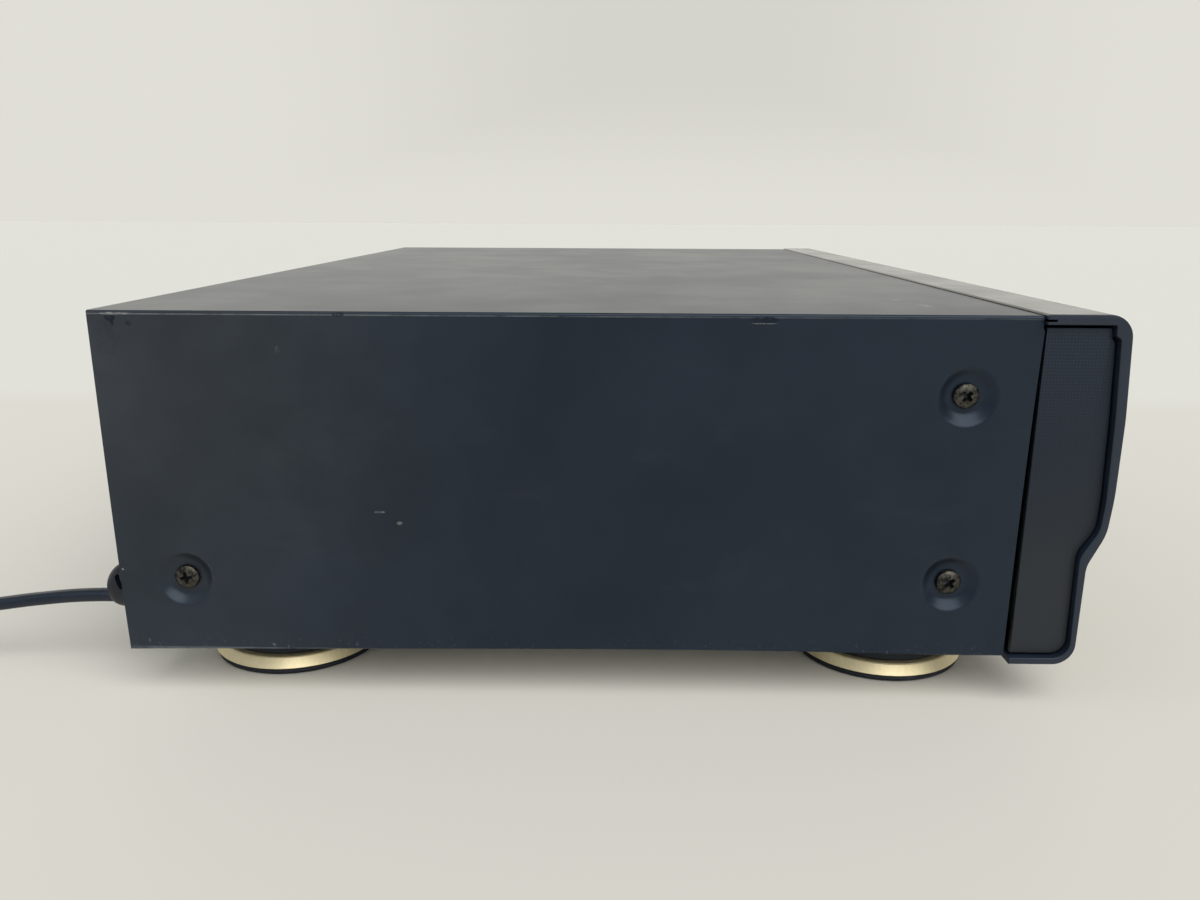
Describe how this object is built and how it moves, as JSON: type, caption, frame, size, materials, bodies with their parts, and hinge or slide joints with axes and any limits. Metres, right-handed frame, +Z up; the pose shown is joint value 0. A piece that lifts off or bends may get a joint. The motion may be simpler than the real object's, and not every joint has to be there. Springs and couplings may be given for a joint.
{
  "type": "cd player",
  "caption": "Full-width disc player with a motor drawer, display, front buttons, level knob, round gold-ringed feet and a mains lead with its plug.",
  "frame": {"origin": "on the ground under the middle of the player, without its cord", "axes": "+Z up, the front faces -Y, +X to the right seen from the front"},
  "size_m": [0.434, 0.5063, 0.1216],
  "materials": {
    "black_steel": "satin powder coat",
    "dark_aluminium": "fine satin, dark",
    "black_plastic": "matt moulded",
    "zinc_steel": "zinc plated",
    "bronze_zinc": "black and bronze passivated",
    "champagne_gold": "turned and anodised",
    "black_rubber": "matt",
    "smoked_acrylic": "polished",
    "tube_glass": "clear",
    "green_board": "lacquered board",
    "grey_plastic": "moulded",
    "white_plastic": "moulded acetal",
    "lens_glass": "coated",
    "core_steel": "varnished laminations",
    "black_lead": "satin flexible jacket"
  },
  "bodies": {
    "player": {"top_cover": "black_steel", "rear_panel": "black_steel", "front_fascia": "dark_aluminium", "fascia_end_cap_left": "black_plastic", "fascia_end_cap_right": "black_plastic", "bottom_chassis": "zinc_steel", "cover_screw_left_front_upper": "bronze_zinc", "cover_screw_left_front_lower": "bronze_zinc", "cover_screw_left_rear_lower": "bronze_zinc", "cover_screw_right_front_upper": "bronze_zinc", "cover_screw_right_front_lower": "bronze_zinc", "cover_screw_right_rear_lower": "bronze_zinc", "foot_front_left": "black_rubber", "foot_front_right": "black_rubber", "foot_rear_left": "black_rubber", "foot_rear_right": "black_rubber", "foot_ring_front_left": "champagne_gold", "foot_ring_front_right": "champagne_gold", "foot_ring_rear_left": "champagne_gold", "foot_ring_rear_right": "champagne_gold", "display_window": "smoked_acrylic", "display_tube": "tube_glass", "front_board": "green_board", "main_board": "green_board", "power_transformer": "core_steel", "headphone_socket": "black_plastic", "line_out_sockets": "black_plastic", "optical_output": "black_plastic", "mechanism_frame": "grey_plastic", "loading_motor": "zinc_steel", "loading_belt": "black_rubber", "clamp_bridge": "zinc_steel", "cord_bush": "black_plastic", "mains_lead": "black_lead", "mains_coil": "black_lead", "mains_plug": "black_plastic"},
    "drawer": {"tray": "black_plastic", "tray_front": "black_plastic"},
    "drive_gear": {"drive_gear": "white_plastic"},
    "loading_pulley": {"loading_pulley": "white_plastic"},
    "motor_pulley": {"motor_pulley": "white_plastic"},
    "optical_unit": {"optical_base": "grey_plastic", "spindle_motor": "zinc_steel", "guide_rod_left": "zinc_steel", "guide_rod_right": "zinc_steel", "sled_motor": "zinc_steel"},
    "turntable": {"turntable": "black_plastic"},
    "clamp": {"clamp_puck": "white_plastic"},
    "sled": {"lens_sled": "grey_plastic"},
    "lens": {"objective_lens": "lens_glass"},
    "sled_gear": {"sled_gear": "white_plastic"},
    "sled_pinion": {"sled_pinion": "white_plastic"},
    "level_knob": {"level_knob": "black_plastic"},
    "power_button": {"power_button": "black_plastic"},
    "open_close_button": {"open_close_button": "black_plastic"},
    "skip_back_button": {"skip_back_button": "black_plastic"},
    "skip_forward_button": {"skip_forward_button": "black_plastic"},
    "stop_button": {"stop_button": "black_plastic"},
    "pause_button": {"pause_button": "black_plastic"},
    "play_button": {"play_button": "black_plastic"}
  },
  "joints": [
    {"name": "tray_slide", "type": "slide", "parent": "player", "child": "drawer", "axis": [0, -1, 0], "range_m": [0, 0.142]},
    {"name": "drive_gear_spin", "type": "hinge", "parent": "player", "child": "drive_gear", "pos_m": [-0.0951, -0.1226, 0.066], "axis": [0, 0, 1], "range_deg": [0, 566]},
    {"name": "loading_pulley_spin", "type": "hinge", "parent": "player", "child": "loading_pulley", "pos_m": [-0.0735, -0.1226, 0.066], "axis": [0, 0, 1], "range_deg": [-1131, 0]},
    {"name": "motor_pulley_spin", "type": "hinge", "parent": "player", "child": "motor_pulley", "pos_m": [-0.0335, -0.1226, 0.063], "axis": [0, 0, 1], "range_deg": [-3730, 0]},
    {"name": "optical_tilt", "type": "hinge", "parent": "player", "child": "optical_unit", "pos_m": [-0.05, 0.0014, 0.062], "axis": [1, 0, 0], "range_deg": [0, 4.51]},
    {"name": "turntable_spin", "type": "hinge", "parent": "optical_unit", "child": "turntable", "pos_m": [-0.05, -0.0846, 0.079], "axis": [0, 0, 1], "continuous": true},
    {"name": "clamp_spin", "type": "hinge", "parent": "player", "child": "clamp", "pos_m": [-0.05, -0.0846, 0.085], "axis": [0, 0, 1], "continuous": true},
    {"name": "sled_slide", "type": "slide", "parent": "optical_unit", "child": "sled", "axis": [0, 1, 0], "range_m": [0, 0.034]},
    {"name": "sled_gear_spin", "type": "hinge", "parent": "optical_unit", "child": "sled_gear", "pos_m": [-0.0154, -0.0426, 0.0665], "axis": [0, 0, 1], "range_deg": [-222, 0]},
    {"name": "sled_pinion_spin", "type": "hinge", "parent": "optical_unit", "child": "sled_pinion", "pos_m": [-0.0154, -0.0298, 0.0665], "axis": [0, 0, 1], "range_deg": [0, 488]},
    {"name": "lens_focus", "type": "slide", "parent": "sled", "child": "lens", "axis": [0, 0, 1], "range_m": [-0.0005, 0.0005], "stiffness_N_per_m": 60},
    {"name": "level_turn", "type": "hinge", "parent": "player", "child": "level_knob", "pos_m": [-0.178, -0.16, 0.03], "axis": [0, 1, 0], "range_deg": [-150, 150]},
    {"name": "power_press", "type": "slide", "parent": "player", "child": "power_button", "axis": [0, 1, 0], "range_m": [0, 0.003], "stiffness_N_per_m": 400},
    {"name": "open_close_press", "type": "slide", "parent": "player", "child": "open_close_button", "axis": [0, 1, 0], "range_m": [0, 0.001], "stiffness_N_per_m": 500},
    {"name": "skip_back_press", "type": "slide", "parent": "player", "child": "skip_back_button", "axis": [0, 1, 0], "range_m": [0, 0.001], "stiffness_N_per_m": 500},
    {"name": "skip_forward_press", "type": "slide", "parent": "player", "child": "skip_forward_button", "axis": [0, 1, 0], "range_m": [0, 0.001], "stiffness_N_per_m": 500},
    {"name": "stop_press", "type": "slide", "parent": "player", "child": "stop_button", "axis": [0, 1, 0], "range_m": [0, 0.001], "stiffness_N_per_m": 500},
    {"name": "pause_press", "type": "slide", "parent": "player", "child": "pause_button", "axis": [0, 1, 0], "range_m": [0, 0.001], "stiffness_N_per_m": 500},
    {"name": "play_press", "type": "slide", "parent": "player", "child": "play_button", "axis": [0, 1, 0], "range_m": [0, 0.001], "stiffness_N_per_m": 500}
  ],
  "couplings": [
    {"joint": "drive_gear_spin", "follows": "tray_slide", "rad_per_m": 69.444},
    {"joint": "loading_pulley_spin", "follows": "tray_slide", "rad_per_m": -138.89},
    {"joint": "motor_pulley_spin", "follows": "tray_slide", "rad_per_m": -457.96},
    {"joint": "optical_tilt", "follows": "tray_slide", "rad_per_m": 0.5531},
    {"joint": "clamp_spin", "follows": "turntable_spin", "ratio": 1},
    {"joint": "sled_gear_spin", "follows": "sled_slide", "rad_per_m": -113.64},
    {"joint": "sled_pinion_spin", "follows": "sled_slide", "rad_per_m": 250}
  ]
}
